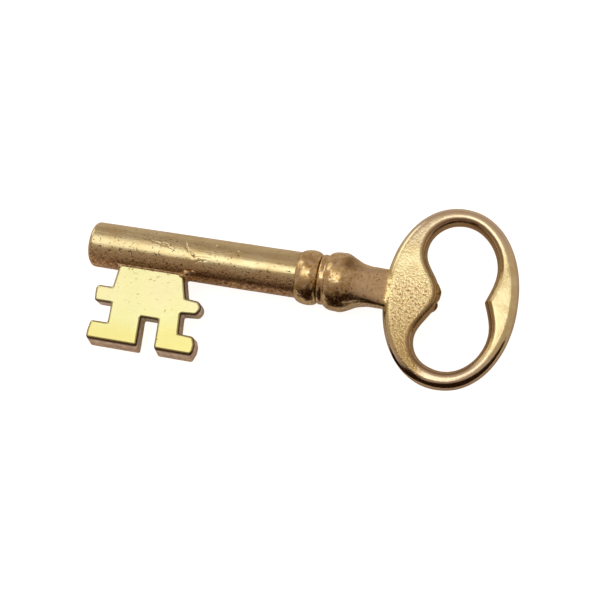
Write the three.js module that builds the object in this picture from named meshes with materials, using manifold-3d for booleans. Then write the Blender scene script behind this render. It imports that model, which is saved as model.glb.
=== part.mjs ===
// Brass bit key: round shank, flat bit with ward cuts, turned collar and open oval bow.
// Millimetres. +X runs from the tip along the shank to the bow, the bit points to -Y,
// and +Z is square to the flat faces of the bit and the bow.
// The origin is the centre of the tip's flat end face.
import * as THREE from 'three';
import { mergeVertices } from 'three/addons/utils/BufferGeometryUtils.js';
import Module from 'manifold-3d';

// Driving dimensions
const FIT_GAP = 0.05;
const TURNED_SIDES = 64;

const SHANK_RADIUS = 4.0;
const SHANK_LENGTH = 37.4;
const TIP_ROUND = 0.35;
const SPIGOT_RADIUS = 2.2;
const SPIGOT_LENGTH = 8.8;

const BIT_THICKNESS = 3.6;
const BIT_ROOT_LEFT = 5.85;
const BIT_ROOT_RIGHT = 17.85;
const BIT_SLOT_TOP = -1.5;
const BIT_FOOT = -17.15;
const FOOT_SLANT_START = -16.1;
const FOOT_SLANT = 0.22;
const BIT_EDGE = 0.15;

const BRAZE_TOP = -3.3;
const BRAZE_BOTTOM = -4.5;
const BRAZE_LEG = 0.5;
const BRAZE_TOE = 0.3;
const BRAZE_BORE_MARGIN = 0.2;

const BEAD_RADIUS = 4.8;
const GROOVE_RADIUS = 3.95;
const GROOVE_PLACE = 41.15;
const STEP_RADIUS = 4.32;
const BALL_RADIUS = 5.08;
const BALL_PLACE = 44.5;
const TAPER_END = 50.2;
const NECK_RADIUS = 3.38;
const NECK_END = 52.45;
const NECK_FLAT_START = 46.5;
const NECK_FLATTEN = 0.48;

const BOW_THICKNESS = 3.4;
const BOW_CENTRE = 63.55;
const BOW_HALF_LENGTH = 11.12;
const BOW_HALF_HEIGHT = 15.75;
const BOW_SQUARENESS = 2.02;
const BOW_TILT = 0.8;
const BOW_EDGE_DEPTH = 1.15;
const BOW_EDGE_WIDTH = 1.0;
const OUTLINE_POINTS = 96;

const TANG_START = 48.7;
const TANG_END = 55.5;
const TANG_WIDTH = 3.4;
const TANG_THICKNESS = 1.4;

const wasm = await Module();
wasm.setup();

function solid(geometry) {
  geometry.deleteAttribute('normal');
  geometry.deleteAttribute('uv');
  const merged = mergeVertices(geometry, 1e-4);
  return new wasm.Manifold(new wasm.Mesh({
    numProp: 3,
    vertProperties: new Float32Array(merged.attributes.position.array),
    triVerts: new Uint32Array(merged.index.array),
  }));
}

function surface(manifold) {
  const mesh = manifold.getMesh();
  const geometry = new THREE.BufferGeometry();
  geometry.setAttribute('position', new THREE.BufferAttribute(mesh.vertProperties, 3));
  geometry.setIndex(new THREE.BufferAttribute(mesh.triVerts, 1));
  geometry.computeVertexNormals();
  return geometry;
}

// A turned shape about the X axis, from [x, radius] pairs.
function turned(profile) {
  const points = profile.map(([x, radius]) => new THREE.Vector2(radius, x));
  const geometry = new THREE.LatheGeometry(points, TURNED_SIDES);
  geometry.rotateZ(-Math.PI / 2);
  return geometry;
}

function block(x0, x1, y0, y1, z0, z1) {
  const geometry = new THREE.BoxGeometry(x1 - x0, y1 - y0, z1 - z0);
  geometry.translate((x0 + x1) / 2, (y0 + y1) / 2, (z0 + z1) / 2);
  return geometry;
}

function reshape(geometry, move) {
  const position = geometry.attributes.position;
  const point = new THREE.Vector3();
  for (let i = 0; i < position.count; i += 1) {
    point.fromBufferAttribute(position, i);
    move(point);
    position.setXYZ(i, point.x, point.y, point.z);
  }
  return geometry;
}

// Shank: a solid rod with its end edge broken, a spigot for the collar
// and a slot that takes the root of the bit.
function makeShank() {
  const spigotEnd = SHANK_LENGTH + SPIGOT_LENGTH;
  const rod = turned([
    [0, 0],
    [0, SHANK_RADIUS - TIP_ROUND],
    [TIP_ROUND * 0.3, SHANK_RADIUS - TIP_ROUND * 0.3],
    [TIP_ROUND, SHANK_RADIUS],
    [SHANK_LENGTH, SHANK_RADIUS],
    [SHANK_LENGTH, SPIGOT_RADIUS],
    [spigotEnd, SPIGOT_RADIUS],
    [spigotEnd, 0],
  ]);
  const half = BIT_THICKNESS / 2 + FIT_GAP;
  const slot = block(BIT_ROOT_LEFT - FIT_GAP, BIT_ROOT_RIGHT + FIT_GAP,
    -2 * SHANK_RADIUS, BIT_SLOT_TOP, -half, half);
  return surface(solid(rod).subtract(solid(slot)));
}

// Bit: a plate with a tooth and a foot on each side and a notch between the feet.
// The ends of the feet slant, so they are longer at the back than at the front.
function makeBit() {
  const rootTop = BIT_SLOT_TOP - FIT_GAP;
  const outline = [
    [BIT_ROOT_LEFT, rootTop], [BIT_ROOT_LEFT, BRAZE_BOTTOM], [5.6, -7.6],
    // tooth, gap and foot on the tip's side
    [2.8, -7.6], [2.65, -8.4], [2.9, -10.5], [6.05, -10.5],
    [6.2, -14.0], [3.15, -14.0], [2.9, -15.9], [3.0, BIT_FOOT],
    // notch
    [11.95, BIT_FOOT], [11.8, -12.1], [15.05, -12.1], [15.45, BIT_FOOT],
    // foot, gap and tooth on the bow's side
    [21.6, BIT_FOOT], [22.3, -16.4], [22.3, -15.2], [21.75, -14.0], [19.1, -13.9],
    [18.7, -10.4], [21.4, -10.2], [21.95, -9.3], [21.95, -8.6], [21.4, -7.8], [18.95, -7.6],
    [BIT_ROOT_RIGHT, -SHANK_RADIUS - FIT_GAP], [BIT_ROOT_RIGHT, rootTop],
  ];
  const shape = new THREE.Shape(outline.map(([x, y]) => new THREE.Vector2(x, y)));
  const plate = new THREE.ExtrudeGeometry(shape, {
    depth: BIT_THICKNESS - 2 * BIT_EDGE,
    bevelSize: BIT_EDGE,
    bevelOffset: -BIT_EDGE,
    bevelThickness: BIT_EDGE,
    bevelSegments: 1,
  });
  plate.translate(0, 0, BIT_EDGE - BIT_THICKNESS / 2);
  return reshape(plate, (point) => {
    if (point.y < FOOT_SLANT_START) point.y += (point.z - BIT_THICKNESS / 2) * FOOT_SLANT;
  });
}

// Braze: a three-cornered run of filler between shank and bit, all round the root.
function makeBraze() {
  const middle = (BIT_ROOT_LEFT + BIT_ROOT_RIGHT) / 2;
  const half = BIT_THICKNESS / 2;
  const run = block(BIT_ROOT_LEFT, BIT_ROOT_RIGHT, BRAZE_BOTTOM, BRAZE_TOP, -half, half);
  reshape(run, (point) => {
    const grow = point.y > (BRAZE_TOP + BRAZE_BOTTOM) / 2 ? BRAZE_LEG : BRAZE_TOE;
    point.x += Math.sign(point.x - middle) * grow;
    point.z += Math.sign(point.z) * grow;
  });
  const rod = turned([
    [0, 0],
    [0, SHANK_RADIUS + FIT_GAP],
    [SHANK_LENGTH, SHANK_RADIUS + FIT_GAP],
    [SHANK_LENGTH, 0],
  ]);
  const root = block(BIT_ROOT_LEFT - FIT_GAP, BIT_ROOT_RIGHT + BRAZE_BORE_MARGIN,
    2 * BRAZE_BOTTOM, 0, -half - FIT_GAP, half + FIT_GAP);
  return surface(solid(run).subtract(solid(rod)).subtract(solid(root)));
}

// Bead ring: a ring with a rounded face, slid on the spigot against the shank's shoulder.
function makeBeadRing() {
  const bore = SPIGOT_RADIUS + FIT_GAP;
  const end = GROOVE_PLACE - FIT_GAP;
  const steps = 10;
  const face = [];
  for (let i = 0; i <= steps; i += 1) {
    const t = i / steps;
    const foot = t < 0.5 ? SHANK_RADIUS : GROOVE_RADIUS;
    const x = SHANK_LENGTH + (end - SHANK_LENGTH) * t;
    face.push([x, foot + (BEAD_RADIUS - foot) * Math.sin(Math.PI * t)]);
  }
  return turned([[SHANK_LENGTH, bore], ...face, [end, bore], [SHANK_LENGTH, bore]]);
}

// Collar: a narrow step, a ball and a hollow taper to the neck, which flattens towards the bow.
function makeCollar() {
  const bore = SPIGOT_RADIUS + FIT_GAP;
  const boreEnd = SHANK_LENGTH + SPIGOT_LENGTH + FIT_GAP;
  const steps = 10;
  const taper = [];
  for (let i = 0; i <= steps; i += 1) {
    const t = i / steps;
    const fall = (1 + Math.cos(Math.PI * t)) / 2;
    const x = BALL_PLACE + (TAPER_END - BALL_PLACE) * t;
    taper.push([x, NECK_RADIUS + (BALL_RADIUS - NECK_RADIUS) * fall]);
  }
  const body = turned([
    [boreEnd, 0], [boreEnd, bore], [GROOVE_PLACE, bore], [GROOVE_PLACE, GROOVE_RADIUS],
    [GROOVE_PLACE + 0.3, STEP_RADIUS], [GROOVE_PLACE + 0.85, STEP_RADIUS],
    [GROOVE_PLACE + 1.1, STEP_RADIUS - 0.07], [GROOVE_PLACE + 1.45, BALL_RADIUS - 0.48],
    [GROOVE_PLACE + 1.95, BALL_RADIUS - 0.2], [GROOVE_PLACE + 2.55, BALL_RADIUS - 0.05],
    ...taper,
    [NECK_END, NECK_RADIUS], [NECK_END, 0],
  ]);
  reshape(body, (point) => {
    const along = (point.x - NECK_FLAT_START) / (NECK_END - NECK_FLAT_START);
    point.z *= 1 - NECK_FLATTEN * THREE.MathUtils.smoothstep(along, 0, 1);
  });
  const halfWidth = TANG_WIDTH / 2 + FIT_GAP;
  const halfThickness = TANG_THICKNESS / 2 + FIT_GAP;
  const socket = block(TANG_START - FIT_GAP, NECK_END + 1,
    -halfWidth, halfWidth, -halfThickness, halfThickness);
  return surface(solid(body).subtract(solid(socket)));
}

// The bow is set a little out of square on the neck.
function tilted({ x, y }) {
  const centre = new THREE.Vector2(BOW_CENTRE, 0);
  return new THREE.Vector2(x, y).rotateAround(centre, THREE.MathUtils.degToRad(BOW_TILT));
}

function bowOutline() {
  const power = 2 / BOW_SQUARENESS;
  const points = [];
  for (let i = 0; i < OUTLINE_POINTS; i += 1) {
    const angle = (2 * Math.PI * i) / OUTLINE_POINTS;
    const c = Math.cos(angle);
    const s = Math.sin(angle);
    const x = BOW_CENTRE + BOW_HALF_LENGTH * Math.sign(c) * Math.abs(c) ** power;
    const y = BOW_HALF_HEIGHT * Math.sign(s) * Math.abs(s) ** power;
    points.push(tilted({ x, y }));
  }
  return points;
}

// The opening's upper half runs from the cusp at the far side, round the lobe,
// to the swelling on the neck's side. The lower half mirrors it.
function bowOpening() {
  const half = new THREE.Path();
  half.moveTo(69.25, 0);
  half.bezierCurveTo(69.75, 1.4, 70.6, 3.4, 70.6, 5.2);
  half.bezierCurveTo(70.6, 9.1, 67.5, 12.85, 64.0, 12.85);
  half.bezierCurveTo(61.0, 12.85, 58.55, 10.7, 58.55, 7.7);
  half.bezierCurveTo(58.55, 4.9, 61.65, 3.2, 61.65, 0);
  const upper = half.getPoints(10);
  const lower = upper.slice(1, -1).reverse().map(({ x, y }) => ({ x, y: -y }));
  return [...upper, ...lower].map(tilted);
}

// Bow: a flat oval ring with rounded edges and a two-lobed opening, and a tang for the neck.
function makeBow() {
  const shape = new THREE.Shape(bowOutline());
  shape.holes.push(new THREE.Path(bowOpening()));
  const plate = new THREE.ExtrudeGeometry(shape, {
    depth: BOW_THICKNESS - 2 * BOW_EDGE_DEPTH,
    bevelSize: BOW_EDGE_WIDTH,
    bevelOffset: -BOW_EDGE_WIDTH,
    bevelThickness: BOW_EDGE_DEPTH,
    bevelSegments: 3,
  });
  plate.translate(0, 0, BOW_EDGE_DEPTH - BOW_THICKNESS / 2);
  const tang = block(TANG_START, TANG_END, -TANG_WIDTH / 2, TANG_WIDTH / 2,
    -TANG_THICKNESS / 2, TANG_THICKNESS / 2);
  return surface(solid(plate).add(solid(tang)));
}

const paleBrass = { color: 0xe3cf7e, roughness: 0.32, metalness: 1.0 };
const warmBrass = { color: 0xc4a468, roughness: 0.36, metalness: 1.0 };
const sandCastBrass = { color: 0xd2b878, roughness: 0.48, metalness: 1.0 };
const brazeMetal = { color: 0xb88f55, roughness: 0.5, metalness: 1.0 };

const key = new THREE.Group();

function add(name, geometry, finish) {
  const mesh = new THREE.Mesh(geometry, new THREE.MeshStandardMaterial(finish));
  mesh.name = name;
  key.add(mesh);
}

add('shank', makeShank(), warmBrass);
add('bit', makeBit(), paleBrass);
add('bit_braze', makeBraze(), brazeMetal);
add('bead_ring', makeBeadRing(), warmBrass);
add('collar', makeCollar(), warmBrass);
add('bow', makeBow(), sandCastBrass);

export default key;
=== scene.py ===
import math

import bpy
from mathutils import Matrix, Vector


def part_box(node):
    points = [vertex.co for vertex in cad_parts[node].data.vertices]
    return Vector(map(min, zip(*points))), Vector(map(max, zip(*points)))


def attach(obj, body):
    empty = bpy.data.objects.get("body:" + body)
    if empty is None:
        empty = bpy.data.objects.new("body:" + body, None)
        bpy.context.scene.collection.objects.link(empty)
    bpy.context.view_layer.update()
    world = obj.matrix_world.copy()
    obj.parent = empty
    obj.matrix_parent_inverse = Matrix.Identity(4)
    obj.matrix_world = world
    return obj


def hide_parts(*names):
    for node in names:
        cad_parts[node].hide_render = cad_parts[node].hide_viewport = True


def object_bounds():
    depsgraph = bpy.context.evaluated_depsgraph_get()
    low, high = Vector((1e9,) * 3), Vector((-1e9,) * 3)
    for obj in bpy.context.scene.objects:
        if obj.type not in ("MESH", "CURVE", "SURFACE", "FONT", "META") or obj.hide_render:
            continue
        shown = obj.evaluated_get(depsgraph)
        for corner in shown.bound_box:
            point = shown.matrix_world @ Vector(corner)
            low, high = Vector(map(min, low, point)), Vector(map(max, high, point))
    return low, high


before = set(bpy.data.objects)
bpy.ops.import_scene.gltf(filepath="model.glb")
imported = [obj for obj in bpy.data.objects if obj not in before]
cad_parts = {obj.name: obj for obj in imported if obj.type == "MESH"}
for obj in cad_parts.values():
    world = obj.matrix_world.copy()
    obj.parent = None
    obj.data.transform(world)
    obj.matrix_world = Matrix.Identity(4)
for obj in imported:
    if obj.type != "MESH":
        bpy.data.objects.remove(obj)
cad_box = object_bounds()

# A brass bit key lying on a pale table. The frame is the part's own: +X from the tip
# along the shank to the bow, the bit to -Y, +Z square to the flats of the bit and bow.
# Lengths named here are in millimetres, and MM turns them into metres.
MM = 0.001

shank_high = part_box("shank")[1]
bit_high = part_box("bit")[1]
bow_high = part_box("bow")[1]
bead_low, bead_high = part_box("bead_ring")
collar_low, collar_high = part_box("collar")
braze_low, braze_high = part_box("bit_braze")

SHANK_RADIUS = shank_high.y / MM
SHANK_END = bead_low.x / MM
BEAD_END = bead_high.x / MM
BEAD_RADIUS = bead_high.y / MM
COLLAR_START = collar_low.x / MM
BALL_RADIUS = collar_high.y / MM
BIT_HALF = bit_high.z / MM
BOW_HALF = bow_high.z / MM
TABLE = cad_box[0].z / MM - 0.02   # a hair below the lowest point of the key
BOW_CENTRE = 63.55   # the oval of the bow's outside, shared by its shape and its finish
BOW_HALF_LENGTH = 11.12
BOW_HALF_HEIGHT = 15.75


# ---------------------------------------------------------------- camera and lights

CAMERA_PLACE = (76.05, -51.16, 188.43)
CAMERA_TARGET = (38.40, -4.35, 0.0)
CAMERA_ROLL = math.radians(11.64)
CAMERA_LENS = 69.4


def aim(thing, place, target, roll=0.0):
    """Puts a camera or a lamp at a place, looking at a target with +Y up, then rolled."""
    forward = (Vector(target) - Vector(place)).normalized()
    right = forward.cross(Vector((0, 1, 0))).normalized()
    up = right.cross(forward)
    turn = Matrix((right, up, -forward)).transposed() @ Matrix.Rotation(roll, 3, "Z")
    thing.location = Vector(place) * MM
    thing.rotation_euler = turn.to_euler()


def add_camera():
    """The camera, above the key and to the bow's side, rolled so that the shank rises."""
    camera = bpy.data.objects.new("camera", bpy.data.cameras.new("camera"))
    camera.data.lens = CAMERA_LENS
    camera.data.clip_start = 0.01
    aim(camera, CAMERA_PLACE, CAMERA_TARGET, CAMERA_ROLL)
    bpy.context.scene.collection.objects.link(camera)
    bpy.context.scene.camera = camera


def add_softbox(name, place, target, size, brightness):
    """A softbox whose face shines with the given brightness, where 1 is full white."""
    lamp = bpy.data.lights.new(name, "AREA")
    lamp.shape = "RECTANGLE"
    lamp.size, lamp.size_y = size[0] * MM, size[1] * MM
    lamp.energy = brightness * math.pi * size[0] * size[1] * MM * MM
    lamp.color = linear("#FFFDF8")[:3]
    light = bpy.data.objects.new(name, lamp)
    aim(light, place, target)
    bpy.context.scene.collection.objects.link(light)


# ---------------------------------------------------------------- materials

def linear(code):
    """An sRGB hex colour as linear red, green, blue and full alpha."""
    def channel(value):
        return value / 12.92 if value <= 0.04045 else ((value + 0.055) / 1.055) ** 2.4
    return tuple(channel(int(code[i:i + 2], 16) / 255) for i in (1, 3, 5)) + (1.0,)


def add_node(material, kind, inputs=None, stops=None, **settings):
    """Adds a node: inputs are links or plain values, stops fill a colour ramp. A ramp has
    its first two stops already, so its ends come first in the list."""
    node = material.node_tree.nodes.new(kind)
    for name, value in settings.items():
        setattr(node, name, value)
    for name, value in (inputs or {}).items():
        socket = node.inputs[name]
        if isinstance(value, bpy.types.NodeSocket):
            material.node_tree.links.new(value, socket)
        else:
            socket.default_value = value
    for k, (place, shade) in enumerate(stops or ()):
        elements = node.color_ramp.elements
        element = elements[k] if k < 2 else elements.new(place)
        element.position = place
        element.color = linear(shade) if isinstance(shade, str) else (shade,) * 3 + (1.0,)
    return node


def new_material(name):
    """An empty node material."""
    material = bpy.data.materials.new(name)
    material.use_nodes = True
    material.node_tree.nodes.clear()
    return material


def metal_surface(material, colour, roughness, height, depth):
    """The last stretch of every brass here: bare metal with a relief depth mm deep."""
    bump = add_node(material, "ShaderNodeBump", {
        "Height": height, "Distance": depth * MM, "Strength": 1.0})
    shader = add_node(material, "ShaderNodeBsdfPrincipled", {
        "Base Color": colour, "Metallic": 1.0, "Roughness": roughness,
        "Normal": bump.outputs[0]})
    add_node(material, "ShaderNodeOutputMaterial", {"Surface": shader.outputs[0]})
    return material


def sawn_wall(material, place, axes):
    """The colour of the plate's sawn edges: pinkish, with a painted dark band of shade just under
    the front face.
    """
    # painted shade: a dark band is painted on the walls just under the front face
    level = add_node(material, "ShaderNodeMapRange", {
        "Value": axes.outputs["Z"], "From Min": -BIT_HALF * MM, "From Max": BIT_HALF * MM})
    wall_shade_ramp = add_node(material, "ShaderNodeValToRGB", {"Fac": level.outputs[0]}, stops=[
        (0.06, "#FFFFFF"), (0.94, "#5E452E"), (0.18, "#E2D6C8"), (0.72, "#FFFFFF"),
        (0.84, "#6E5238")])
    sawn = add_node(material, "ShaderNodeTexNoise", {
        "Vector": place, "Scale": 1 / (0.9 * MM), "Detail": 3.0, "Roughness": 0.65})
    cut = add_node(material, "ShaderNodeValToRGB", {"Fac": sawn.outputs["Fac"]}, stops=[
        (0.35, "#D2B898"), (0.62, "#FFF3DE")])
    shaded_cut = add_node(material, "ShaderNodeMix", {
        "Factor": 1.0, 6: cut.outputs[0], 7: wall_shade_ramp.outputs[0]},
        data_type="RGBA", blend_type="MULTIPLY")
    return shaded_cut.outputs[2]


def filed_sheet_brass():
    """Leaded yellow brass plate, sawn out, filed flat and rubbed bright: a pale
    greenish-yellow face with a deeper gold cast at the feet, fine file marks and a few
    pits by the root. The file marks are drawn 0.15 mm apart, coarser than real ones."""
    material = new_material("filed_sheet_brass")
    place = add_node(material, "ShaderNodeTexCoord").outputs["Object"]
    axes = add_node(material, "ShaderNodeSeparateXYZ", {0: place})
    # the face's colour, in clouds 7 mm wide and golder towards the feet
    cloud = add_node(material, "ShaderNodeTexNoise", {
        "Vector": place, "Scale": 1 / (7 * MM), "Detail": 3.0})
    lower = add_node(material, "ShaderNodeMapRange", {
        "Value": axes.outputs["Y"], "From Min": -9 * MM, "From Max": -16 * MM,
        "To Min": -0.25, "To Max": 0.25})
    warmth = add_node(material, "ShaderNodeMath", {
        0: cloud.outputs["Fac"], 1: lower.outputs[0]}, operation="ADD")
    face = add_node(material, "ShaderNodeValToRGB", {"Fac": warmth.outputs[0]}, stops=[
        (0.3, "#E0E0AE"), (0.75, "#DCDA92"), (0.5, "#DCE0A6")])
    # small pits, more of them near the root
    near_root = add_node(material, "ShaderNodeMapRange", {
        "Value": axes.outputs["Y"], "From Min": -15 * MM, "From Max": -4 * MM,
        "To Min": 0.28, "To Max": 0.37})
    speck = add_node(material, "ShaderNodeTexNoise", {
        "Vector": place, "Scale": 1 / (0.7 * MM), "Detail": 3.0, "Roughness": 0.6})
    pit = add_node(material, "ShaderNodeMapRange", {
        "Value": speck.outputs["Fac"], "From Min": near_root.outputs[0], "From Max": 0.24,
        "To Min": 0.0, "To Max": 1.0})
    colour = add_node(material, "ShaderNodeMix", {
        "Factor": pit.outputs[0], 6: face.outputs[0], 7: linear("#B8983C")}, data_type="RGBA")
    # the sawn walls take over just below the two faces
    rise = add_node(material, "ShaderNodeMath", {0: axes.outputs["Z"]}, operation="ABSOLUTE")
    wall = add_node(material, "ShaderNodeMapRange", {
        "Value": rise.outputs[0], "From Min": (BIT_HALF - 0.06) * MM,
        "From Max": (BIT_HALF - 0.2) * MM})
    sided = add_node(material, "ShaderNodeMix", {
        "Factor": wall.outputs[0], 6: colour.outputs[2],
        7: sawn_wall(material, place, axes)}, data_type="RGBA")
    # file marks, drawn out along the key
    along = add_node(material, "ShaderNodeMapping", {"Vector": place, "Scale": (0.08, 1.0, 1.0)})
    marks = add_node(material, "ShaderNodeTexNoise", {
        "Vector": along.outputs[0], "Scale": 1 / (0.15 * MM), "Detail": 2.0})
    relief = add_node(material, "ShaderNodeMath", {
        0: marks.outputs["Fac"], 1: 0.12}, operation="MULTIPLY")
    height = add_node(material, "ShaderNodeMath", {
        0: relief.outputs[0], 1: pit.outputs[0]}, operation="SUBTRACT")
    roughness = add_node(material, "ShaderNodeMapRange", {
        "Value": marks.outputs["Fac"], "To Min": 0.14, "To Max": 0.26})
    return metal_surface(material, sided.outputs[2], roughness.outputs[0],
                         height.outputs[0], 0.02)


def underside_shade_share(material, axes, skin):
    """Where a broken dark band is painted along the rod's underside, past the bit: painted shade.
    """
    band = add_node(material, "ShaderNodeValToRGB", {"Fac": add_node(
        material, "ShaderNodeMapRange", {
            "Value": axes.outputs["Y"], "From Min": 0.0, "From Max": -4 * MM}
    ).outputs[0]}, stops=[(0.64, 0.0), (0.91, 0.0), (0.76, 0.45), (0.84, 0.9)])
    beyond_bit = add_node(material, "ShaderNodeMapRange", {
        "Value": axes.outputs["X"], "From Min": 17 * MM, "From Max": 19.5 * MM})
    broken = add_node(material, "ShaderNodeMapRange", {
        "Value": skin.outputs["Fac"], "From Min": 0.34, "From Max": 0.56,
        "To Min": 1.3, "To Max": 0.7})
    shade_band = add_node(material, "ShaderNodeMath", {
        0: band.outputs[0], 1: beyond_bit.outputs[0]}, operation="MULTIPLY")
    patchy = add_node(material, "ShaderNodeMath", {
        0: shade_band.outputs[0], 1: broken.outputs[0]}, operation="MULTIPLY", use_clamp=True)
    return patchy.outputs[0]


def polished_rod_brass():
    """Cast brass rod, linished along its length: long soft streaks in the shine. On the bit's side
    the casting skin was left, brown in its pits. That side is also painted redder as it turns
    under, a painted warm reflection, and past the bit a broken dark band of painted shade runs
    along its underside."""
    material = new_material("polished_rod_brass")
    place = add_node(material, "ShaderNodeTexCoord").outputs["Object"]
    axes = add_node(material, "ShaderNodeSeparateXYZ", {0: place})
    along = add_node(material, "ShaderNodeMapping", {"Vector": place, "Scale": (0.07, 1.0, 1.0)})
    # streaks 0.35 mm wide, clouds 3.5 mm wide and skin pits about 0.5 mm apart
    streak = add_node(material, "ShaderNodeTexNoise", {
        "Vector": along.outputs[0], "Scale": 1 / (0.35 * MM), "Detail": 4.0, "Roughness": 0.65})
    cloud = add_node(material, "ShaderNodeTexNoise", {
        "Vector": place, "Scale": 1 / (3.5 * MM), "Detail": 3.0})
    skin = add_node(material, "ShaderNodeTexNoise", {
        "Vector": place, "Scale": 1 / (0.5 * MM), "Detail": 4.0, "Roughness": 0.68,
        "Distortion": 0.6})
    side = add_node(material, "ShaderNodeMapRange", {
        "Value": axes.outputs["Y"], "From Min": -0.8 * MM, "From Max": -3.2 * MM,
        "To Min": 0.385, "To Max": 0.57})
    pit = add_node(material, "ShaderNodeMapRange", {
        "Value": skin.outputs["Fac"], "From Min": side.outputs[0], "From Max": 0.33})
    tone = add_node(material, "ShaderNodeMath", {
        0: cloud.outputs["Fac"], 1: streak.outputs["Fac"]}, operation="ADD")
    metal = add_node(material, "ShaderNodeValToRGB", {"Fac": add_node(
        material, "ShaderNodeMath", {0: tone.outputs[0], 1: 0.5}, operation="MULTIPLY"
    ).outputs[0]}, stops=[(0.34, "#E0CE98"), (0.64, "#F0EABC")])
    # painted redder as the surface turns under (a painted warm reflection), then the painted dark
    # band of shade past the bit, then pitted
    turned_under = add_node(material, "ShaderNodeMapRange", {
        "Value": axes.outputs["Y"], "From Min": -1.2 * MM, "From Max": -3.6 * MM})
    redder = add_node(material, "ShaderNodeMix", {
        "Factor": turned_under.outputs[0], 6: metal.outputs[0], 7: linear("#F4CC96")},
        data_type="RGBA")
    # painted shade: the dark band along the underside past the bit
    band_shaded = add_node(material, "ShaderNodeMix", {
        "Factor": underside_shade_share(material, axes, skin), 6: redder.outputs[2], 7: linear("#5E3E20")},
        data_type="RGBA")
    colour = add_node(material, "ShaderNodeMix", {
        "Factor": pit.outputs[0], 6: band_shaded.outputs[2], 7: linear("#70441E")},
        data_type="RGBA")
    # streaks shine unevenly, and pits are dull and sunk
    shine = add_node(material, "ShaderNodeMapRange", {
        "Value": streak.outputs["Fac"], "From Min": 0.3, "From Max": 0.7,
        "To Min": 0.15, "To Max": 0.3})
    roughness = add_node(material, "ShaderNodeMath", {
        0: pit.outputs[0], 1: 0.1, 2: shine.outputs[0]}, operation="MULTIPLY_ADD")
    fine = add_node(material, "ShaderNodeMath", {
        0: streak.outputs["Fac"], 1: 0.35}, operation="MULTIPLY")
    height = add_node(material, "ShaderNodeMath", {
        0: fine.outputs[0], 1: pit.outputs[0]}, operation="SUBTRACT")
    return metal_surface(material, colour.outputs[2], roughness.outputs[0],
                         height.outputs[0], 0.06)


def hollow_shade(material, axes):
    """Where painted shade darkens the hollow between ball and neck, on the side away from the bit."""
    hollow = add_node(material, "ShaderNodeMapRange", {
        "Value": axes.outputs["X"], "From Min": 45.0 * MM, "From Max": 46.0 * MM})
    past = add_node(material, "ShaderNodeMapRange", {
        "Value": axes.outputs["X"], "From Min": 48.6 * MM, "From Max": 46.6 * MM})
    above = add_node(material, "ShaderNodeMapRange", {
        "Value": axes.outputs["Y"], "From Min": 0.9 * MM, "From Max": 1.5 * MM,
        "To Min": 0.25})
    shoulder = add_node(material, "ShaderNodeMapRange", {
        "Value": axes.outputs["Y"], "From Min": 4.6 * MM, "From Max": 3.2 * MM,
        "To Max": 0.7})
    ring = add_node(material, "ShaderNodeMath", {
        0: hollow.outputs[0], 1: past.outputs[0]}, operation="MULTIPLY")
    side = add_node(material, "ShaderNodeMath", {
        0: above.outputs[0], 1: shoulder.outputs[0]}, operation="MULTIPLY")
    dark = add_node(material, "ShaderNodeMath", {
        0: ring.outputs[0], 1: side.outputs[0]}, operation="MULTIPLY")
    return dark.outputs[0]


def bow_share(material, axes, dents):
    """Where the neck already has the bow's yellower colour, in a ragged edge at the bow."""
    at_bow = add_node(material, "ShaderNodeMapRange", {
        "Value": axes.outputs["X"], "From Min": 51.6 * MM, "From Max": 53.4 * MM,
        "To Min": -0.2, "To Max": 0.5})
    reach = add_node(material, "ShaderNodeMath", {
        0: at_bow.outputs[0], 1: dents.outputs["Fac"]}, operation="ADD")
    joined = add_node(material, "ShaderNodeMapRange", {
        "Value": reach.outputs[0], "From Min": 0.45, "From Max": 0.75})
    return joined.outputs[0]


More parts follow.
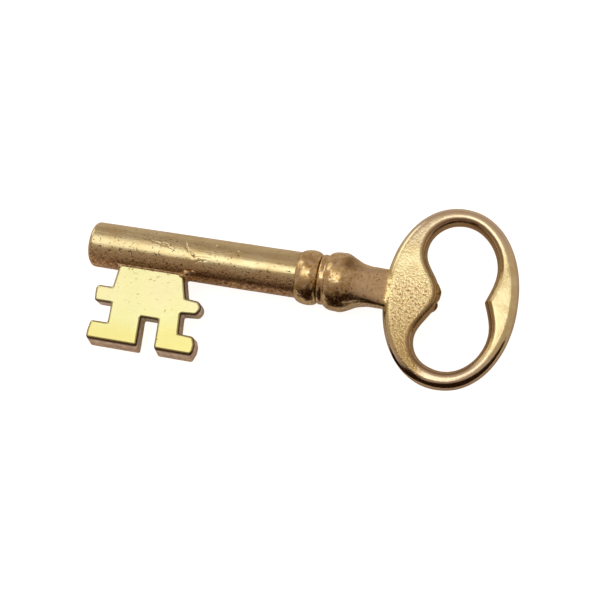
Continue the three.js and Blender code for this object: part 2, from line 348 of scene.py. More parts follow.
def turned_cast_brass():
    """Cast brass mouldings, turned and buffed by hand: high spots bright, dents and
    blowholes left dull and brown, faint rings about 2 mm apart round the axis."""
    material = new_material("turned_cast_brass")
    place = add_node(material, "ShaderNodeTexCoord").outputs["Object"]
    axes = add_node(material, "ShaderNodeSeparateXYZ", {0: place})
    dents = add_node(material, "ShaderNodeTexNoise", {
        "Vector": place, "Scale": 1 / (0.9 * MM), "Detail": 3.0, "Roughness": 0.6})
    holes = add_node(material, "ShaderNodeTexNoise", {
        "Vector": place, "Scale": 1 / (0.4 * MM), "Detail": 3.0, "Roughness": 0.65})
    rings = add_node(material, "ShaderNodeTexWave", {
        "Vector": place, "Scale": 1 / (6.3 * MM), "Distortion": 1.5, "Detail": 1.0},
        wave_type="BANDS", bands_direction="X")
    metal = add_node(material, "ShaderNodeValToRGB", {"Fac": dents.outputs["Fac"]}, stops=[
        (0.32, "#CBAC72"), (0.7, "#F8E8C2"), (0.5, "#E4CB94")])
    # the neck is plainer and paler than the mouldings
    neck = add_node(material, "ShaderNodeMapRange", {
        "Value": axes.outputs["X"], "From Min": 46.2 * MM, "From Max": 48.0 * MM,
        "To Max": 0.6})
    smoothed = add_node(material, "ShaderNodeMix", {
        "Factor": neck.outputs[0], 6: metal.outputs[0], 7: linear("#E8D6B0")},
        data_type="RGBA")
    # painted shade in the hollow between the ball and the neck
    hollow_shaded = add_node(material, "ShaderNodeMix", {
        "Factor": hollow_shade(material, axes), 6: smoothed.outputs[2], 7: linear("#7E5E2A")},
        data_type="RGBA")
    blended = add_node(material, "ShaderNodeMix", {
        "Factor": bow_share(material, axes, dents), 6: hollow_shaded.outputs[2], 7: linear("#F6E2A4")},
        data_type="RGBA")
    # blowholes, larger on the bit's side
    under = add_node(material, "ShaderNodeMapRange", {
        "Value": axes.outputs["Y"], "From Min": -0.6 * MM, "From Max": -3.0 * MM,
        "To Min": 0.385, "To Max": 0.43})
    hole = add_node(material, "ShaderNodeMapRange", {
        "Value": holes.outputs["Fac"], "From Min": under.outputs[0], "From Max": 0.34})
    colour = add_node(material, "ShaderNodeMix", {
        "Factor": hole.outputs[0], 6: blended.outputs[2], 7: linear("#7E5A2C")},
        data_type="RGBA")
    # dents are duller than the high spots, and the relief is dents, rings and holes
    roughness = add_node(material, "ShaderNodeMapRange", {
        "Value": dents.outputs["Fac"], "From Min": 0.35, "From Max": 0.65,
        "To Min": 0.26, "To Max": 0.12})
    ringed = add_node(material, "ShaderNodeMath", {
        0: rings.outputs["Fac"], 1: 0.06, 2: dents.outputs["Fac"]}, operation="MULTIPLY_ADD")
    low = add_node(material, "ShaderNodeMath", {
        0: hole.outputs[0], 1: -0.35, 2: ringed.outputs[0]}, operation="MULTIPLY_ADD")
    return metal_surface(material, colour.outputs[2], roughness.outputs[0],
                         low.outputs[0], 0.055)


def rough_web_share(material, axes, rise):
    """Where the sand's grain is left: the flats of the web behind the neck, fading out
    towards its upper end and the bow's opening."""
    far = add_node(material, "ShaderNodeMapRange", {
        "Value": axes.outputs["X"], "From Min": 61.8 * MM, "From Max": 59.6 * MM})
    near = add_node(material, "ShaderNodeMapRange", {
        "Value": axes.outputs["X"], "From Min": 52.6 * MM, "From Max": 54.6 * MM})
    web = add_node(material, "ShaderNodeMath", {
        0: far.outputs[0], 1: near.outputs[0]}, operation="MULTIPLY")
    lower = add_node(material, "ShaderNodeMapRange", {
        "Value": axes.outputs["Y"], "From Min": 4.0 * MM, "From Max": 0.0,
        "To Min": 0.05, "To Max": 1.0})
    flat = add_node(material, "ShaderNodeMapRange", {
        "Value": rise.outputs[0], "From Min": 1.5 * MM, "From Max": 1.66 * MM})
    low_web = add_node(material, "ShaderNodeMath", {
        0: web.outputs[0], 1: lower.outputs[0]}, operation="MULTIPLY")
    rough_web = add_node(material, "ShaderNodeMath", {
        0: low_web.outputs[0], 1: flat.outputs[0]}, operation="MULTIPLY")
    return rough_web.outputs[0]


def opening_shade_share(material, rise, oval):
    """Where painted shade darkens the opening: a line just under the faces, fainter down the wall.
    """
    inside = add_node(material, "ShaderNodeMapRange", {
        "Value": oval.outputs["Value"], "From Min": 0.9, "From Max": 0.86})
    corner = add_node(material, "ShaderNodeValToRGB", {"Fac": add_node(
        material, "ShaderNodeMapRange", {"Value": rise.outputs[0], "From Max": 1.8 * MM}
    ).outputs[0]}, stops=[(0.5, 0.55), (0.93, 0.0), (0.72, 0.3), (0.8, 0.8), (0.86, 0.75)])
    opening_shade = add_node(material, "ShaderNodeMath", {
        0: corner.outputs[0], 1: inside.outputs[0]}, operation="MULTIPLY")
    return opening_shade.outputs[0]


def waist_shade_share(material, rise, oval):
    """Where the outside of the ring, at the parting line, is painted dark: painted shade."""
    waist = add_node(material, "ShaderNodeMapRange", {
        "Value": rise.outputs[0], "From Min": 0.6 * MM, "From Max": 0.1 * MM,
        "To Max": 0.7})
    outside = add_node(material, "ShaderNodeMapRange", {
        "Value": oval.outputs["Value"], "From Min": 0.93, "From Max": 0.96})
    girth = add_node(material, "ShaderNodeMath", {
        0: waist.outputs[0], 1: outside.outputs[0]}, operation="MULTIPLY")
    return girth.outputs[0]


def sand_cast_brass():
    """Brass as it left a sand mould: the web behind the neck keeps the grain of the sand, and
    handling has worn the ring and the web's upper end smooth and bright. Light and shade are
    painted in as well: the ring's two ends whiter as a painted highlight, the web darker towards
    its lower end, the sloping edges browner, a dark line inside the opening and a dark outline
    round the outside at the parting line, all painted shade."""
    material = new_material("sand_cast_brass")
    place = add_node(material, "ShaderNodeTexCoord").outputs["Object"]
    axes = add_node(material, "ShaderNodeSeparateXYZ", {0: place})
    rise = add_node(material, "ShaderNodeMath", {0: axes.outputs["Z"]}, operation="ABSOLUTE")
    rough_web = rough_web_share(material, axes, rise)
    # sand grain 0.42 mm wide, and worn patches 2.2 mm wide
    grain = add_node(material, "ShaderNodeTexNoise", {
        "Vector": place, "Scale": 1 / (0.42 * MM), "Detail": 2.0, "Roughness": 0.65})
    patch = add_node(material, "ShaderNodeTexNoise", {
        "Vector": place, "Scale": 1 / (2.2 * MM), "Detail": 3.0})
    grit = add_node(material, "ShaderNodeMapRange", {
        "Value": grain.outputs["Fac"], "From Min": 0.34, "From Max": 0.64})
    sandy = add_node(material, "ShaderNodeValToRGB", {"Fac": grit.outputs[0]}, stops=[
        (0.0, "#946A2E"), (1.0, "#FFFCD0"), (0.34, "#FFEAAC")])
    # worn metal, painted whiter at the ring's two ends as a painted highlight
    worn = add_node(material, "ShaderNodeValToRGB", {"Fac": patch.outputs["Fac"]}, stops=[
        (0.38, "#E9DCA8"), (0.6, "#F6EFBE")])
    offset = add_node(material, "ShaderNodeMath", {0: axes.outputs["Y"]}, operation="ABSOLUTE")
    end = add_node(material, "ShaderNodeMapRange", {
        "Value": offset.outputs[0], "From Min": 7 * MM, "From Max": 11 * MM, "To Max": 0.8})
    worn_and_sheen = add_node(material, "ShaderNodeMix", {
        "Factor": end.outputs[0], 6: worn.outputs[0], 7: linear("#F0E2C4")},
        data_type="RGBA")
    # sandy metal, painted darker towards the lower end as painted shade
    lower_shade = add_node(material, "ShaderNodeMapRange", {
        "Value": axes.outputs["Y"], "From Min": 0.0, "From Max": -11 * MM,
        "To Max": 0.9})
    lower_shaded = add_node(material, "ShaderNodeMix", {
        "Factor": lower_shade.outputs[0], 6: sandy.outputs[0], 7: linear("#BCA36C")},
        data_type="RGBA")
    colour = add_node(material, "ShaderNodeMix", {
        "Factor": rough_web, 6: worn_and_sheen.outputs[2], 7: lower_shaded.outputs[2]},
        data_type="RGBA")
    # painted browner down the sloping edges as painted shade, then the painted shade lines in the
    # opening and round the outside
    edge = add_node(material, "ShaderNodeMapRange", {
        "Value": rise.outputs[0], "From Min": 1.3 * MM, "From Max": 0.6 * MM,
        "To Max": 0.85})
    edge_shaded = add_node(material, "ShaderNodeMix", {
        "Factor": edge.outputs[0], 6: colour.outputs[2], 7: linear("#C2A67C")},
        data_type="RGBA")
    centred = add_node(material, "ShaderNodeMapping", {
        "Vector": place, "Location": (-BOW_CENTRE / BOW_HALF_LENGTH, 0, 0),
        "Scale": (1 / (BOW_HALF_LENGTH * MM), 1 / (BOW_HALF_HEIGHT * MM), 0)})
    oval = add_node(material, "ShaderNodeVectorMath", {
        0: centred.outputs[0]}, operation="LENGTH")
    # painted shade: a dark line inside the opening, just under the faces
    lined = add_node(material, "ShaderNodeMix", {
        "Factor": opening_shade_share(material, rise, oval), 6: edge_shaded.outputs[2], 7: linear("#94703C")},
        data_type="RGBA")
    # painted shade: a dark outline round the outside of the ring at the parting line
    outlined = add_node(material, "ShaderNodeMix", {
        "Factor": waist_shade_share(material, rise, oval), 6: lined.outputs[2], 7: linear("#866C50")},
        data_type="RGBA")
    # the grain is duller than the worn metal, and stands out more
    roughness = add_node(material, "ShaderNodeMapRange", {
        "Value": rough_web, "To Min": 0.16, "To Max": 0.26})
    share = add_node(material, "ShaderNodeMapRange", {
        "Value": rough_web, "To Min": 0.1, "To Max": 1.0})
    height = add_node(material, "ShaderNodeMath", {
        0: grit.outputs[0], 1: share.outputs[0]}, operation="MULTIPLY")
    return metal_surface(material, outlined.outputs[2], roughness.outputs[0],
                         height.outputs[0], 0.045)


def brazing_brass():
    """Brazing spelter as it froze: redder than the plate, dull and a little blistered."""
    material = new_material("brazing_brass")
    place = add_node(material, "ShaderNodeTexCoord").outputs["Object"]
    blister = add_node(material, "ShaderNodeTexNoise", {
        "Vector": place, "Scale": 1 / (0.5 * MM), "Detail": 3.0})
    colour = add_node(material, "ShaderNodeValToRGB", {"Fac": blister.outputs["Fac"]}, stops=[
        (0.35, "#B98A50"), (0.6, "#FBE8BC")])
    roughness = add_node(material, "ShaderNodeMapRange", {
        "Value": blister.outputs["Fac"], "To Min": 0.4, "To Max": 0.2})
    return metal_surface(material, colour.outputs[0], roughness.outputs[0],
                         blister.outputs["Fac"], 0.08)


# ---------------------------------------------------------------- modelling helpers

TURN_STEPS = 200
SMOOTH_ANGLE = math.radians(40)
MERGE = 0.02   # points closer than this are one


def deselect():
    """Leaves edit mode and selects nothing."""
    if bpy.context.object and bpy.context.object.mode != "OBJECT":
        bpy.ops.object.mode_set(mode="OBJECT")
    bpy.ops.object.select_all(action="DESELECT")


def draw_line(points):
    """Extrudes a single vertex from point to point."""
    for before, after in zip(points, points[1:]):
        step = Vector(after) - Vector(before)
        bpy.ops.mesh.extrude_region_move(TRANSFORM_OT_translate={"value": step * MM})


def start_line(name, points):
    """A new mesh object, in edit mode, that holds the line through the points."""
    deselect()
    bpy.ops.mesh.primitive_plane_add(size=MM, location=(0, 0, 0))
    piece = bpy.context.object
    piece.name = piece.data.name = name
    bpy.ops.object.mode_set(mode="EDIT")
    bpy.ops.mesh.select_mode(type="VERT")
    bpy.ops.mesh.merge(type="CENTER")
    bpy.ops.transform.translate(value=Vector(points[0]) * MM)
    draw_line(points)
    return piece


def add_loop(points):
    """Adds a second line through the points to the mesh in edit mode."""
    bpy.ops.mesh.select_all(action="DESELECT")
    bpy.ops.mesh.primitive_plane_add(size=MM, location=(0, 0, 0))
    bpy.ops.mesh.merge(type="CENTER")
    bpy.ops.transform.translate(value=Vector(points[0]) * MM)
    draw_line(points)


def turn_piece(name, profile):
    """Spins a profile of (x, radius) about the X axis into a closed solid."""
    piece = start_line(name, [(x, radius, 0) for x, radius in profile])
    bpy.ops.mesh.select_all(action="SELECT")
    bpy.ops.mesh.spin(steps=TURN_STEPS, angle=math.tau, center=(0, 0, 0), axis=(1, 0, 0))
    bpy.ops.mesh.select_all(action="SELECT")
    bpy.ops.mesh.remove_doubles(threshold=0.001 * MM)
    bpy.ops.mesh.normals_make_consistent(inside=False)
    bpy.ops.object.mode_set(mode="OBJECT")
    return piece


def select_points(piece, test):
    """Selects, in edit mode, the vertices whose place in millimetres passes the test."""
    bpy.ops.object.mode_set(mode="EDIT")
    bpy.ops.mesh.select_mode(type="VERT")
    bpy.ops.mesh.select_all(action="DESELECT")
    bpy.ops.object.mode_set(mode="OBJECT")
    for vertex in piece.data.vertices:
        vertex.select = test(vertex.co / MM)
    bpy.ops.object.mode_set(mode="EDIT")


def pick(piece):
    """Makes a piece the only selected object, and the active one."""
    deselect()
    piece.select_set(True)
    bpy.context.view_layer.objects.active = piece


def apply(piece, kind, **settings):
    """Adds a modifier with its settings and applies it."""
    pick(piece)
    modifier = piece.modifiers.new(kind.lower(), kind)
    for name, value in settings.items():
        setattr(modifier, name, value)
    bpy.ops.object.modifier_apply(modifier=modifier.name)


def make_uneven(piece, size, height):
    """Raises and lowers the surface by the slow waves that casting and filing leave."""
    texture = bpy.data.textures.new(piece.name + "_waves", "CLOUDS")
    texture.noise_scale = size * MM
    texture.noise_depth = 2
    apply(piece, "DISPLACE", texture=texture, texture_coords="LOCAL",
          strength=height * MM, mid_level=0.5)


def finish_piece(piece, node, material):
    """Smooths and clothes a piece, and puts it in the place of its node."""
    pick(piece)
    bpy.ops.object.shade_smooth_by_angle(angle=SMOOTH_ANGLE)
    piece.data.materials.clear()
    piece.data.materials.append(material)
    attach(piece, "root")
    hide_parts(node)


def spaced(start, end, length):
    """Evenly spaced places from start to end, about a length apart."""
    count = max(1, round(abs(end - start) / length))
    return [start + (end - start) * i / count for i in range(count + 1)]


# ---------------------------------------------------------------- pieces

SPIGOT_RADIUS = 2.2
SPIGOT_END = shank_high.x / MM
FIT_GAP = 0.1
BORE_RADIUS = SPIGOT_RADIUS + FIT_GAP
TIP_ROUND = 0.7
TIP_STEPS = 6
TIP_FACE_STEP = 0.4
TIP_FACE_EDGE = 0.3   # the tip's flat face is left smooth this far from its worn corner
END_CHAMFER = 0.05
ROD_STEP = 0.16   # fine enough along the rod for the scratches
SCORE_STEPS = 12

SCORES = [
    # a mark on the top of the shank: its points as (x, degrees from the top), width, depth
    (((17.2, 30), (17.5, 22), (17.8, 12), (18.4, 2), (18.7, -6), (19.4, -13)), 0.16, 0.06),
    (((19.4, -13), (20.4, -9), (22.7, -8)), 0.12, 0.035),
    (((19.8, -24), (20.6, -18), (21.8, -15)), 0.12, 0.035),
    (((4.5, 31), (6.8, 25), (9.8, 21), (12.6, 12), (15.8, 1)), 0.12, 0.04),
    (((7.6, 29), (8.4, 26), (9.0, 27)), 0.13, 0.04),
    (((10.6, 25), (11.4, 21), (11.9, 23)), 0.13, 0.04),
    (((13.4, 13), (14.2, 12), (14.6, 8)), 0.12, 0.04),
    (((22.5, 31), (22.9, 29)), 0.24, 0.1),
    (((26.7, 21), (27.2, 19)), 0.2, 0.08),
]


def score_shank(shank):
    """Presses a few knocks and scratches into the rod."""
    for path, width, depth in SCORES:
        line = []
        for (x0, a0), (x1, a1) in zip(path, path[1:]):
            for i in range(SCORE_STEPS):
                x = x0 + (x1 - x0) * i / SCORE_STEPS
                a = math.radians(a0 + (a1 - a0) * i / SCORE_STEPS)
                line.append(Vector((x, SHANK_RADIUS * math.sin(a), SHANK_RADIUS * math.cos(a))))
        select_points(shank, lambda at: min((at - spot).length for spot in line) < width)
        bpy.ops.transform.shrink_fatten(value=-depth * MM)
        bpy.ops.object.mode_set(mode="OBJECT")


def make_shank():
    """The rod: a flat tip with a worn corner, a straight side and the spigot."""
    tip = []
    for i in range(TIP_STEPS + 1):
        angle = math.pi / 2 * i / TIP_STEPS
        tip.append((TIP_ROUND * (1 - math.cos(angle)),
                    SHANK_RADIUS - TIP_ROUND * (1 - math.sin(angle))))
    profile = [(0, radius) for radius in spaced(
        0, SHANK_RADIUS - TIP_ROUND - TIP_FACE_EDGE, TIP_FACE_STEP)]
    profile += tip
    profile += [(x, SHANK_RADIUS) for x in spaced(
        TIP_ROUND + ROD_STEP, SHANK_END - END_CHAMFER, ROD_STEP)]
    profile += [(SHANK_END, SHANK_RADIUS - END_CHAMFER), (SHANK_END, SPIGOT_RADIUS)]
    profile += [(SPIGOT_END, SPIGOT_RADIUS), (SPIGOT_END, 0)]
    shank = turn_piece("shank_rod", profile)
    make_uneven(shank, size=3.5, height=0.06)
    score_shank(shank)
    return shank


BEAD_FOOT = SHANK_RADIUS - 0.03
BEAD_TRIM = 0.06   # what the uneven surface adds to the bead's height
BEAD_STEPS = 32
BEAD_LEAN = 0.88       # under 1, its crown leans away from the shank
BEAD_FULLNESS = 0.95   # under 1, its face is fuller than a half round
DROP = 0.15   # the mouldings stand this far off the rod's axis, towards the bit


def drop(piece):
    """Shifts a moulding off the rod's axis."""
    piece.data.transform(Matrix.Translation((0, -DROP * MM, 0)))


def make_bead():
    """A ring with a full round face."""
    profile = [(SHANK_END, BORE_RADIUS)]
    for i in range(BEAD_STEPS + 1):
        angle = math.pi * i / BEAD_STEPS
        across, swell = -math.cos(angle), math.sin(angle)
        x = SHANK_END + (BEAD_END - SHANK_END) * ((1 + across) / 2) ** BEAD_LEAN
        height = (BEAD_RADIUS - BEAD_TRIM - BEAD_FOOT) * swell ** BEAD_FULLNESS
        profile.append((x, BEAD_FOOT + height))
    profile += [(BEAD_END, BORE_RADIUS), (SHANK_END, BORE_RADIUS)]
    bead = turn_piece("bead_moulding", profile)
    drop(bead)
    make_uneven(bead, size=1.3, height=0.06)
    return bead


NECK_RADIUS = 3.38
NECK_FLAT_START = 46.5
NECK_FLATTEN = 0.49
NECK_FLATTEN_EASE = 1.25
NECK_SQUARE = 1.6
ON_AXIS = 0.1   # points nearer the axis than this close the ends, and stay put
BALL_PLACE = 44.5
BALL_CREASE = 0.09
CREASE_END = 0.8   # as a share of the taper
TAPER_END = 50.2
FLARE_START = 52.0
FLARE = 1.6
SINK_START = 52.6   # from here the neck sinks under the face of the bow
SINK = 0.035
NECK_FOOT = 54.9
NECK_STEP = 0.25
TAPER_STEPS = 24
STEP_AND_BALL = [   # (x, radius) from the bead over the narrow step and up the ball
    (COLLAR_START, 3.95), (41.25, 4.15), (41.4, 4.27), (41.6, 4.32), (41.85, 4.33),
    (42.1, 4.27), (42.3, 4.3), (42.5, 4.5), (42.7, 4.68), (43.0, 4.84),
    (43.4, 4.97), (43.8, 5.04),
]


def flatten_neck(collar):
    """Turns the round taper into a flat, rounded oblong where it meets the bow."""
    for vertex in collar.data.vertices:
        x, y, z = vertex.co / MM
        radius = math.hypot(y, z)
        if x > NECK_FLAT_START and radius > ON_AXIS:
            t = (min(x, SINK_START) - NECK_FLAT_START) / (SINK_START - NECK_FLAT_START)
            height = min(radius, NECK_RADIUS if x > FLARE_START else radius)
            height *= 1 - NECK_FLATTEN * t ** NECK_FLATTEN_EASE
            height *= 1 - SINK * max(0.0, x - SINK_START)
            power = 2 + NECK_SQUARE * t
            reach = (abs(y / radius) / radius) ** power + (abs(z / radius) / height) ** power
            shrink = reach ** (-1 / power) / radius
            vertex.co *= Vector((1, shrink, shrink))


def make_collar():
    """A narrow step, a ball with a crease below its crown, and the neck down to the bow."""
    profile = [(SPIGOT_END + FIT_GAP, 0), (SPIGOT_END + FIT_GAP, BORE_RADIUS),
               (COLLAR_START, BORE_RADIUS)]
    profile += STEP_AND_BALL
    for i in range(TAPER_STEPS + 1):
        t = i / TAPER_STEPS
        fall = (1 + math.cos(math.pi * t)) / 2
        crease = BALL_CREASE * math.sin(math.tau * min(t / CREASE_END, 1.0))
        profile.append((BALL_PLACE + (TAPER_END - BALL_PLACE) * t,
                        NECK_RADIUS + (BALL_RADIUS - NECK_RADIUS) * fall + crease))
    for x in spaced(TAPER_END + NECK_STEP, NECK_FOOT, NECK_STEP):
        t = max(0.0, (x - FLARE_START) / (NECK_FOOT - FLARE_START))
        profile.append((x, NECK_RADIUS + FLARE * t * t))
    profile += [(NECK_FOOT + 0.15, NECK_RADIUS), (NECK_FOOT + 0.2, 0)]
    collar = turn_piece("collar_moulding", profile)
    flatten_neck(collar)
    drop(collar)
    make_uneven(collar, size=1.6, height=0.07)
    return collar


FOOT = -18.3   # below the feet, which are filed back from here
BIT_OUTLINE = [   # from the root down the edge on the tip's side, round the feet and back
    (5.85, -1.55), (5.85, -4.5), (5.6, -7.6),
    (2.8, -7.6), (2.65, -8.4), (2.9, -10.5), (6.05, -10.5),
    (6.2, -14.0), (3.15, -14.0), (2.9, -15.9), (3.0, FOOT),
    (12.3, FOOT), (11.85, -12.1), (15.05, -12.1), (15.45, FOOT),
    (21.6, FOOT), (22.3, -16.4), (22.3, -15.2), (21.75, -14.0), (19.1, -13.9),
    (18.7, -10.4), (21.4, -10.2), (21.95, -9.3), (21.95, -8.6), (21.4, -7.8), (18.95, -7.6),
    (17.85, -4.05), (17.85, -1.55), (5.85, -1.55),
]
FOOT_FRONT = -17.15   # where the feet end on the front face
FOOT_SLANT = 0.22
CORNER_ROUND = 0.38
EDGE_ROUND = 0.34


def round_corners(bit):
    """Rounds the upright corners of the noses on the tip's side, and of the feet but for
    the last, whose corner is in the outline."""
    bpy.ops.object.mode_set(mode="OBJECT")
    bpy.ops.object.mode_set(mode="EDIT")
    bpy.ops.mesh.select_mode(type="EDGE")
    bpy.ops.mesh.select_all(action="DESELECT")
    bpy.ops.object.mode_set(mode="OBJECT")
    for edge in bit.data.edges:
        ends = [bit.data.vertices[k].co / MM for k in edge.vertices]
        edge.select = abs(ends[0].z - ends[1].z) > BIT_HALF and (
            -16 < ends[0].y < -7 and ends[0].x < 4 or ends[0].y < -17 and ends[0].x < 20)
    bpy.ops.object.mode_set(mode="EDIT")
    bpy.ops.mesh.bevel(offset=CORNER_ROUND * MM, segments=4, affect="EDGES")
    bpy.ops.object.mode_set(mode="OBJECT")


def make_bit():
    """A sawn and filed plate: wards cut in its edges, its feet filed off at a slant."""
    bit = start_line("bit_plate", [(x, y, -BIT_HALF) for x, y in BIT_OUTLINE])
    bpy.ops.mesh.select_all(action="SELECT")
    bpy.ops.mesh.remove_doubles(threshold=MERGE * MM)
    bpy.ops.mesh.edge_face_add()
    bpy.ops.mesh.extrude_region_move(
        TRANSFORM_OT_translate={"value": (0, 0, 2 * BIT_HALF * MM)})
    bpy.ops.mesh.select_all(action="SELECT")
    bpy.ops.mesh.normals_make_consistent(inside=False)
    bpy.ops.mesh.bisect(plane_co=(0, FOOT_FRONT * MM, BIT_HALF * MM),
                        plane_no=(0, -1, FOOT_SLANT), use_fill=True, clear_outer=True)
    round_corners(bit)
    apply(bit, "BEVEL", width=EDGE_ROUND * MM, segments=4, limit_method="ANGLE")
    apply(bit, "REMESH", mode="VOXEL", voxel_size=0.12 * MM)
    apply(bit, "SMOOTH", factor=0.5, iterations=6)
    make_uneven(bit, size=5.0, height=0.05)
    return bit


BOW_TILT = math.radians(0.8)
SHRINK = 0.09   # what smoothing takes off the rim
SQUARENESS = 0.95   # under 1, the oval is a little fuller than an ellipse
LOBE = [   # the upper half of the opening, as curves from the far point to the near swelling
    ((69.25, 0), (69.75, 1.4), (70.6, 3.4), (70.6, 5.2)),
    ((70.6, 5.2), (70.6, 9.1), (67.5, 12.85), (64.0, 12.85)),
    ((64.0, 12.85), (61.0, 12.85), (58.55, 10.7), (58.55, 7.7)),
    ((58.55, 7.7), (58.55, 4.9), (61.65, 3.2), (61.65, 0)),
]
LOBE_DROP = 0.22   # the opening hangs this much lower on the neck's side, growing over
LOBE_DROP_START = 62   # this place in X
LOBE_DROP_REACH = 3.5   # and this distance towards the neck
LOWER_LOBE = 0.985   # the lower lobe is a little shorter than the upper
LOBE_STEPS = (5, 14, 14, 12)   # few beside the point, so that insets never cross there


def curve_point(ends, t):
    """The point at share t of a curve given by its two ends and two pulling points."""
    weights = ((1 - t) ** 3, 3 * t * (1 - t) ** 2, 3 * t * t * (1 - t), t ** 3)
    return tuple(sum(w * p[k] for w, p in zip(weights, ends)) for k in (0, 1))


def tilted(x, y):
    """A point of the bow, which is set a little out of square on the neck."""
    dx = x - BOW_CENTRE
    return (BOW_CENTRE + dx * math.cos(BOW_TILT) - y * math.sin(BOW_TILT),
            dx * math.sin(BOW_TILT) + y * math.cos(BOW_TILT), 0)


def bow_outlines():
    """The outer and the inner outline, with as many points each, for bridging."""
    upper = [curve_point(ends, i / count) for ends, count in zip(LOBE, LOBE_STEPS)
             for i in range(count)]
    upper.append(LOBE[-1][-1])
    lower = [(x, -LOWER_LOBE * y) for x, y in reversed(upper[1:-1])]
    inner = [tilted(x, y - LOBE_DROP * max(0.0, (LOBE_DROP_START - x) / LOBE_DROP_REACH))
             for x, y in upper + lower + upper[:1]]
    count = len(inner) - 1
    outer = []
    for i in range(count + 1):
        angle = math.tau * i / count
        along, across = (math.copysign(abs(part) ** SQUARENESS, part)
                         for part in (math.cos(angle), math.sin(angle)))
        outer.append(tilted(BOW_CENTRE + (BOW_HALF_LENGTH + SHRINK) * along,
                            (BOW_HALF_HEIGHT + SHRINK) * across))
    return outer, inner


EDGE_WIDTH = 1.2
EDGE_RINGS = 9
EDGE_END = math.radians(78)

# The stub of metal left at the parting line where the casting was cut off its tree:
# each lump's place, its half-sizes and its turn in degrees.
FLASH = (((61.2, 0.6, 0.1), (0.8, 1.7, 0.95), 14), ((61.0, -2.0, -0.2), (0.7, 1.2, 0.7), -28))


def add_lump(piece, place, size, turn):
    """Joins a rough lump, turned in the plane of the flats, to a piece."""
    deselect()
    bpy.ops.mesh.primitive_ico_sphere_add(
        subdivisions=1, radius=MM, location=Vector(place) * MM, scale=size,
        rotation=(0.3, 0.2, math.radians(turn)))
    piece.select_set(True)
    bpy.context.view_layer.objects.active = piece
    bpy.ops.object.join()


# The two webs along Y, which are less worn: middle, half length, and the fade beyond it.
WEBS_MEET = 63
NEAR_WEB = (0, 8, 4)
FAR_WEB = (-1.5, 5, 3)


def wear(place):
    """How far pockets and fingers have worn a place round: all the ring but its two webs."""
    middle, half, fade = NEAR_WEB if place.x < WEBS_MEET else FAR_WEB
    return min(max((abs(place.y - middle) - half) / fade, 0.0), 1.0)


def make_bow():
    """A cast ring with a swelling on each side, its section rounded out to the parting line."""
    outer, inner = bow_outlines()
    bow = start_line("bow_ring", outer)
    add_loop(inner)
    bpy.ops.mesh.select_all(action="SELECT")
    bpy.ops.mesh.remove_doubles(threshold=MERGE * MM)
    bpy.ops.mesh.bridge_edge_loops()
    bpy.ops.mesh.normals_make_consistent(inside=False)
    rise, reach = 0.0, 0.0
    for i in range(1, EDGE_RINGS + 1):
        angle = EDGE_END * i / EDGE_RINGS
        new_rise = BOW_HALF * math.sin(angle) / math.sin(EDGE_END)
        new_reach = EDGE_WIDTH * (1 - math.cos(angle)) / (1 - math.cos(EDGE_END))
        bpy.ops.mesh.inset(thickness=(new_reach - reach) * MM, depth=(new_rise - rise) * MM,
                           use_even_offset=True)
        rise, reach = new_rise, new_reach
    bpy.ops.object.mode_set(mode="OBJECT")
    apply(bow, "MIRROR", use_axis=(False, False, True), merge_threshold=0.01 * MM)
    bpy.ops.object.mode_set(mode="EDIT")
    bpy.ops.mesh.select_all(action="SELECT")
    bpy.ops.mesh.normals_make_consistent(inside=False)
    bpy.ops.object.mode_set(mode="OBJECT")
    for place, size, turn in FLASH:
        add_lump(bow, place, size, turn)
    apply(bow, "REMESH", mode="VOXEL", voxel_size=0.14 * MM)
    apply(bow, "SMOOTH", factor=0.5, iterations=2)
    worn = bow.vertex_groups.new(name="worn_ring")
    for vertex in bow.data.vertices:
        worn.add([vertex.index], wear(vertex.co / MM), "REPLACE")
    apply(bow, "SMOOTH", factor=0.5, iterations=24, vertex_group="worn_ring")
    make_uneven(bow, size=4.0, height=0.04)
    return bow


FILLET = 0.28
BRAZE_MARGIN = 0.5   # how far its node's box stands past the bit at each end
# Spelter that ran past the joint, given as the lumps above are.
BRAZE_LUMPS = (((18.5, -3.15, 2.3), (0.9, 0.7, 0.6), 20), ((17.7, -3.8, 1.75), (0.9, 0.5, 0.5), 0),
               ((19.5, -2.9, 2.5), (0.6, 0.4, 0.45), -15), ((6.1, -3.8, 1.6), (0.5, 0.4, 0.45), 10))


def make_braze():
    """A thin skirt of spelter in the corner between the shank and the bit, with a few
    lumps at its ends."""
    left = braze_low.x / MM + BRAZE_MARGIN - FILLET
    right = braze_high.x / MM - BRAZE_MARGIN + FILLET
    corner = -math.sqrt(SHANK_RADIUS ** 2 - BIT_HALF ** 2)
    loops = []
    for grow, y in ((FILLET, corner + 0.2), (0.0, corner - FILLET), (-0.1, corner + 0.2)):
        x0, x1, z = left + FILLET - grow, right - FILLET + grow, BIT_HALF + grow
        loops.append([(x0, y, -z), (x1, y, -z), (x1, y, z), (x0, y, z), (x0, y, -z)])
    braze = start_line("braze_fillet", loops[0])
    for loop in loops[1:]:
        add_loop(loop)
    bpy.ops.mesh.select_all(action="SELECT")
    bpy.ops.mesh.remove_doubles(threshold=MERGE * MM)
    for first, second in ((0, 1), (1, 2), (2, 0)):
        pair = [Vector(place) for k in (first, second) for place in loops[k]]
        select_points(braze, lambda at: min((at - place).length for place in pair) < MERGE)
        bpy.ops.mesh.bridge_edge_loops()
    bpy.ops.mesh.select_all(action="SELECT")
    bpy.ops.mesh.normals_make_consistent(inside=False)
    bpy.ops.object.mode_set(mode="OBJECT")
    for place, size, turn in BRAZE_LUMPS:
        add_lump(braze, place, size, turn)
    apply(braze, "REMESH", mode="VOXEL", voxel_size=0.08 * MM)
    apply(braze, "SMOOTH", factor=0.5, iterations=2)
    make_uneven(braze, size=0.9, height=0.08)
    return braze


# ---------------------------------------------------------------- stage

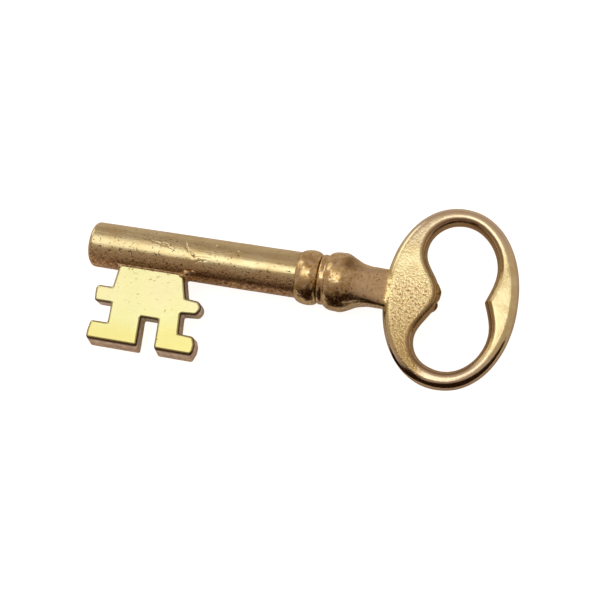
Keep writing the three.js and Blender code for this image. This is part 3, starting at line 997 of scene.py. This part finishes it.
TABLE_LIFT = 0.87   # added for the camera alone, so that the table shows almost white
TABLE_GLOW = 0.08   # added for every other ray
ROOM_SHADES = [
    # from -Y to +Y; the two ends come first, as a ramp has them already
    (0.0, "#6E5B50"), (1.0, "#B39E92"), (0.07, "#867368"), (0.16, "#8E7A6F"),
    (0.27, "#9E897F"), (0.5, "#B5A094"), (0.77, "#BCA699"), (0.93, "#A6928A"),
]
CARD_HEIGHT = 21
CARD_PLACE = (50, -35, TABLE + CARD_HEIGHT / 2)
SHADOW_SHEET = TABLE + 0.1   # lying on the table, black sheets in place of the key's own shadow: painted shadow


def add_table():
    """A white card table, softly lit. The camera sees it brighter than the metal does."""
    deselect()
    bpy.ops.mesh.primitive_plane_add(size=3.0, location=(0.037, 0, TABLE * MM))
    floor = bpy.context.object
    floor.name = "floor"
    material = new_material("white_card_table")
    card = add_node(material, "ShaderNodeBsdfDiffuse", {"Color": linear("#E4DFDC")})
    lift = add_node(material, "ShaderNodeEmission", {
        "Color": linear("#FFFFFF"), "Strength": TABLE_LIFT})
    seen = add_node(material, "ShaderNodeAddShader", {0: card.outputs[0], 1: lift.outputs[0]})
    glow = add_node(material, "ShaderNodeEmission", {
        "Color": linear("#FFF2E6"), "Strength": TABLE_GLOW})
    lit = add_node(material, "ShaderNodeAddShader", {0: card.outputs[0], 1: glow.outputs[0]})
    ray = add_node(material, "ShaderNodeLightPath")
    shader = add_node(material, "ShaderNodeMixShader", {
        0: ray.outputs["Is Camera Ray"], 1: lit.outputs[0], 2: seen.outputs[0]})
    add_node(material, "ShaderNodeOutputMaterial", {"Surface": shader.outputs[0]})
    floor.data.materials.append(material)


def add_room():
    """A warm dim room, grey-brown and darker to -Y, which the camera sees as white."""
    world = bpy.data.worlds.new("room")
    bpy.context.scene.world = world
    world.use_nodes = True
    world.node_tree.nodes.clear()
    direction = add_node(world, "ShaderNodeTexCoord").outputs["Generated"]
    axes = add_node(world, "ShaderNodeSeparateXYZ", {0: direction})
    across = add_node(world, "ShaderNodeMapRange", {
        "Value": axes.outputs["Y"], "From Min": -1.0, "From Max": 1.0})
    shade = add_node(world, "ShaderNodeValToRGB", {"Fac": across.outputs[0]}, stops=ROOM_SHADES)
    room = add_node(world, "ShaderNodeBackground", {"Color": shade.outputs[0]})
    white = add_node(world, "ShaderNodeBackground", {"Color": linear("#FFFFFF")})
    ray = add_node(world, "ShaderNodeLightPath")
    both = add_node(world, "ShaderNodeMixShader", {
        0: ray.outputs["Is Camera Ray"], 1: room.outputs[0], 2: white.outputs[0]})
    add_node(world, "ShaderNodeOutputWorld", {"Surface": both.outputs[0]})


def add_black_card(name, place, tip, turn, size):
    """A black card that only the metal's reflections see, for the dark lines on its lower side: tip
    stands it up from the table, turn is about the upright. Laid flat on the table it is a painted
    shadow, standing in for the key's own shadow there."""
    deselect()
    bpy.ops.mesh.primitive_plane_add(size=1.0, location=(0, 0, 0))
    card = bpy.context.object
    card.name = name
    card.scale = (size[0] * MM, size[1] * MM, 1)
    card.rotation_euler = (tip, 0, turn)
    card.location = Vector(place) * MM
    material = new_material("black_card")
    paper = add_node(material, "ShaderNodeBsdfDiffuse", {"Color": linear("#33200F")})
    add_node(material, "ShaderNodeOutputMaterial", {"Surface": paper.outputs[0]})
    card.data.materials.append(material)
    for ray in ("visible_camera", "visible_diffuse", "visible_shadow"):
        setattr(card, ray, False)


# ---------------------------------------------------------------- making it

add_camera()
rod_brass = polished_rod_brass()
turned_brass = turned_cast_brass()
finish_piece(make_shank(), "shank", rod_brass)
finish_piece(make_bit(), "bit", filed_sheet_brass())
finish_piece(make_braze(), "bit_braze", brazing_brass())
finish_piece(make_bead(), "bead_ring", turned_brass)
finish_piece(make_collar(), "collar", turned_brass)
finish_piece(make_bow(), "bow", sand_cast_brass())

add_table()
add_room()
add_softbox("overhead_softbox", (-72, 20, 420), (-72, 19, 0), (315, 250), 0.91)
add_softbox("side_softbox", (-330, 290, 190), (40, 0, 0), (260, 240), 0.8)
add_softbox("overhead_core", (-35, 0, 419), (-35, -1, 0), (120, 105), 0.35)
add_softbox("tip_softbox", (-200, 215, 420), (-200, 214, 0), (110, 130), 0.85)
add_black_card("black_flag", CARD_PLACE, math.pi / 2, math.radians(22), (150, CARD_HEIGHT))
add_black_card("neck_flag", (45, -30, TABLE + 15), math.pi / 2, 0, (14, 30))
# painted shadow: black sheets on the table by the collar and the shank, where the key's own shadow
# falls, seen only in reflections
add_black_card("collar_shadow_sheet", (46, -24, SHADOW_SHEET), 0, 0, (16, 24))
add_black_card("shank_shadow_sheet", (32, -30, SHADOW_SHEET), 0, 0, (14, 24))
bpy.context.scene.view_settings.view_transform = "Standard"
